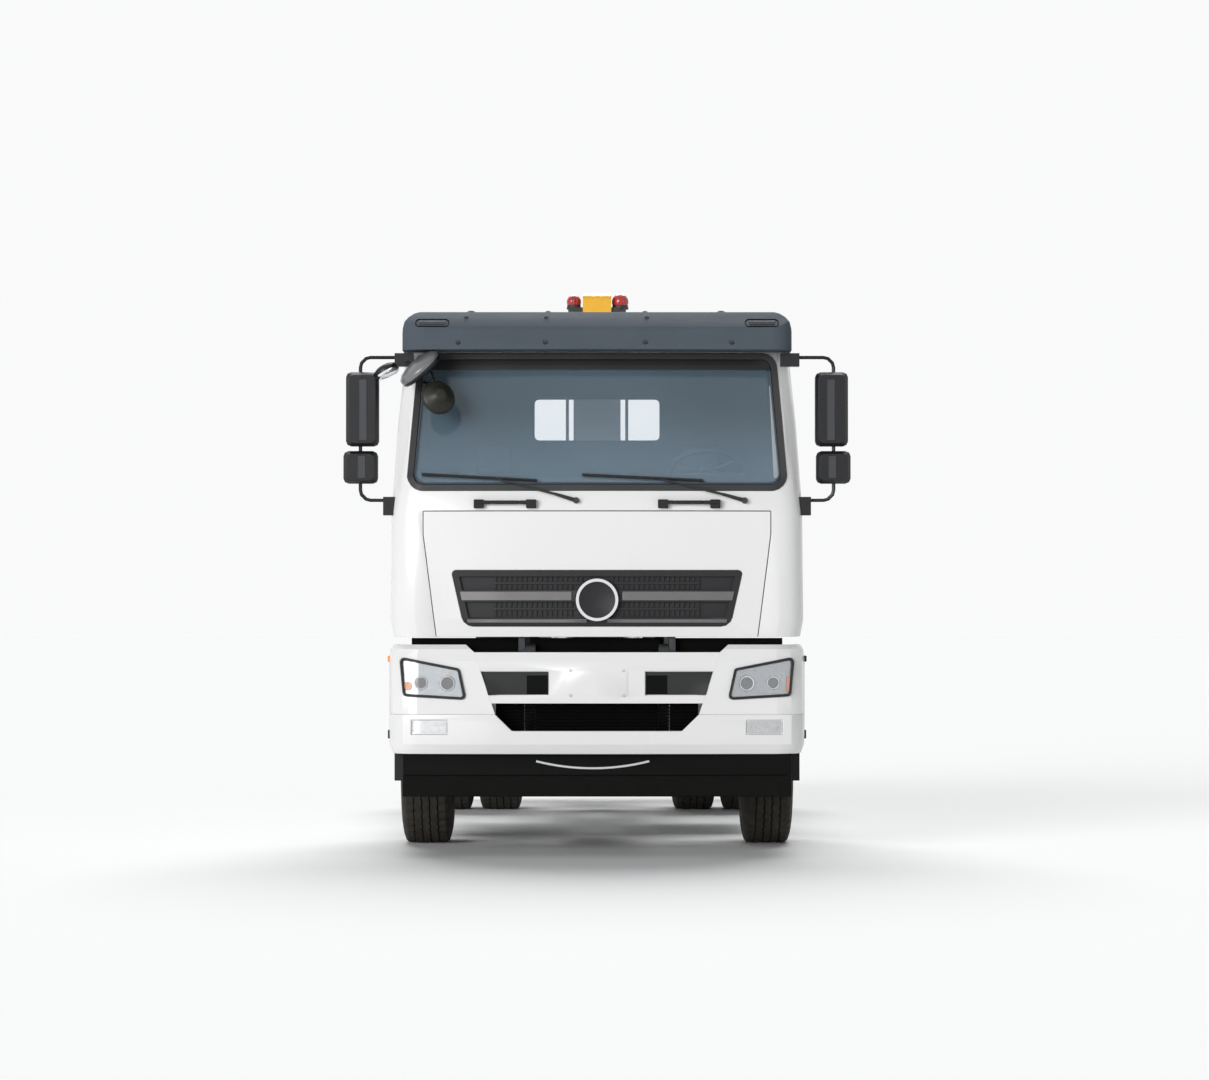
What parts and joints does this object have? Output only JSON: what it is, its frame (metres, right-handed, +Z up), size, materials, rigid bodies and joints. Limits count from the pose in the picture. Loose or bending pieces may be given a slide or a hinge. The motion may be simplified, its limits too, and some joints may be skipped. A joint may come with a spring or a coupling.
{
  "type": "hook lift truck",
  "caption": "Two-axle cab-over truck with a tipping, swinging and sliding hook arm that loads and tips roll-off containers.",
  "frame": {"origin": "middle of the truck's length and width, on the ground", "axes": "+Z up, the truck faces -Y, +X is the vehicle's left side"},
  "size_m": [3.02, 7.0979, 3.4994],
  "materials": {
    "white_paint": "gloss white",
    "anthracite_paint": "gloss blue-grey",
    "charcoal_plastic": "satin",
    "black_plastic": "satin",
    "glass": "clear, lightly tinted",
    "lamp_lens": "clear lens",
    "tyre_rubber": "matte",
    "wheel_steel": "silver paint",
    "chassis_black": "satin black",
    "engine_metal": "painted casting",
    "tank_metal": "brushed",
    "lift_paint": "satin grey",
    "hook_yellow": "gloss yellow",
    "rod_chrome": "polished",
    "seat_cloth": "woven",
    "grey_trim": "grained"
  },
  "bodies": {
    "chassis": {"chassis_frame": "chassis_black", "engine_block": "engine_metal", "front_axle": "chassis_black", "rear_axle": "chassis_black", "bumper_centre": "white_paint", "bumper_lower": "white_paint", "bumper_wing_left": "white_paint", "bumper_wing_right": "white_paint", "underrun_panel": "black_plastic", "headlamp_left": "lamp_lens", "headlamp_right": "lamp_lens", "entry_step_left": "black_plastic", "entry_step_right": "black_plastic", "fuel_tank": "tank_metal", "battery_and_air_tanks": "black_plastic", "silencer_box": "tank_metal", "oil_tank": "lift_paint", "side_guard_left": "tank_metal", "side_guard_right": "tank_metal", "rear_mudguard_left": "black_plastic", "rear_mudguard_right": "black_plastic", "rear_bar": "chassis_black", "lift_subframe": "lift_paint"},
    "cab": {"cab_shell": "white_paint", "roof_visor": "anthracite_paint", "windscreen": "glass", "rear_window": "glass", "cab_floor": "grey_trim", "dashboard": "grey_trim", "seat_left": "seat_cloth", "seat_right": "seat_cloth", "mirror_left": "black_plastic", "mirror_right": "black_plastic"},
    "front_flap": {"front_flap": "white_paint", "grille": "charcoal_plastic"},
    "door_left": {"door_left": "white_paint", "door_glass_left": "glass"},
    "door_right": {"door_right": "white_paint", "door_glass_right": "glass"},
    "knuckle_left": {"knuckle_left": "chassis_black"},
    "knuckle_right": {"knuckle_right": "chassis_black"},
    "tie_rod": {"tie_rod": "chassis_black"},
    "front_wheel_left": {"front_tyre_left": "tyre_rubber", "front_rim_left": "wheel_steel"},
    "front_wheel_right": {"front_tyre_right": "tyre_rubber", "front_rim_right": "wheel_steel"},
    "rear_wheels_left": {"rear_tyre_outer_left": "tyre_rubber", "rear_tyre_inner_left": "tyre_rubber", "rear_rims_left": "wheel_steel"},
    "rear_wheels_right": {"rear_tyre_outer_right": "tyre_rubber", "rear_tyre_inner_right": "tyre_rubber", "rear_rims_right": "wheel_steel"},
    "tipping_frame": {"tipping_frame": "lift_paint"},
    "main_arm": {"main_arm": "lift_paint"},
    "hook_jib": {"hook_jib": "lift_paint", "hook_head": "hook_yellow"},
    "lift_barrels": {"lift_barrels": "lift_paint"},
    "lift_rods": {"lift_rod_left": "rod_chrome", "lift_rod_right": "rod_chrome"}
  },
  "joints": [
    {"name": "cab_tilt", "type": "hinge", "parent": "chassis", "child": "cab", "pos_m": [0, -3.435, 1.215], "axis": [1, 0, 0], "range_deg": [0, 50]},
    {"name": "flap_lift", "type": "hinge", "parent": "cab", "child": "front_flap", "pos_m": [0, -3.496, 2.036], "axis": [-1, 0, 0], "range_deg": [0, 70]},
    {"name": "door_swing_left", "type": "hinge", "parent": "cab", "child": "door_left", "pos_m": [1.228, -3.11, 2], "axis": [0, 0, -1], "range_deg": [0, 70]},
    {"name": "door_swing_right", "type": "hinge", "parent": "cab", "child": "door_right", "pos_m": [-1.228, -3.11, 2], "axis": [0, 0, 1], "range_deg": [0, 70]},
    {"name": "steer_left", "type": "hinge", "parent": "chassis", "child": "knuckle_left", "pos_m": [0.86, -2.15, 0.538], "axis": [0, 0, 1], "range_deg": [-35, 35]},
    {"name": "steer_right", "type": "hinge", "parent": "chassis", "child": "knuckle_right", "pos_m": [-0.86, -2.15, 0.538], "axis": [0, 0, 1], "range_deg": [-35, 35]},
    {"name": "tie_rod_swing", "type": "hinge", "parent": "knuckle_left", "child": "tie_rod", "pos_m": [0.8, -1.85, 0.42], "axis": [0, 0, 1], "range_deg": [-35, 35]},
    {"name": "front_roll_left", "type": "hinge", "parent": "knuckle_left", "child": "front_wheel_left", "pos_m": [1.05, -2.15, 0.538], "axis": [1, 0, 0], "continuous": true},
    {"name": "front_roll_right", "type": "hinge", "parent": "knuckle_right", "child": "front_wheel_right", "pos_m": [-1.05, -2.15, 0.538], "axis": [1, 0, 0], "continuous": true},
    {"name": "rear_roll_left", "type": "hinge", "parent": "chassis", "child": "rear_wheels_left", "pos_m": [0.869, 1.93, 0.538], "axis": [1, 0, 0], "continuous": true},
    {"name": "rear_roll_right", "type": "hinge", "parent": "chassis", "child": "rear_wheels_right", "pos_m": [-0.869, 1.93, 0.538], "axis": [1, 0, 0], "continuous": true},
    {"name": "frame_tip", "type": "hinge", "parent": "chassis", "child": "tipping_frame", "pos_m": [0, 3.3, 1.082], "axis": [-1, 0, 0], "range_deg": [0, 45]},
    {"name": "arm_swing", "type": "hinge", "parent": "tipping_frame", "child": "main_arm", "pos_m": [0, 2.05, 1.1], "axis": [-1, 0, 0], "range_deg": [0, 125]},
    {"name": "jib_slide", "type": "slide", "parent": "main_arm", "child": "hook_jib", "axis": [0, 1, 0], "range_m": [0, 0.7]},
    {"name": "cylinder_swing", "type": "hinge", "parent": "chassis", "child": "lift_barrels", "pos_m": [0, -0.7, 1], "axis": [1, 0, 0], "range_deg": [0, 3.3]},
    {"name": "cylinder_stroke", "type": "slide", "parent": "lift_barrels", "child": "lift_rods", "axis": [0, 0.992, 0.126], "range_m": [0, 1.33]}
  ],
  "couplings": [
    {"joint": "steer_right", "follows": "steer_left", "ratio": 1},
    {"joint": "tie_rod_swing", "follows": "steer_left", "ratio": -1},
    {"joint": "cylinder_swing", "follows": "arm_swing", "ratio": 0.02615},
    {"joint": "cylinder_stroke", "follows": "arm_swing", "m_per_rad": 0.6064}
  ]
}
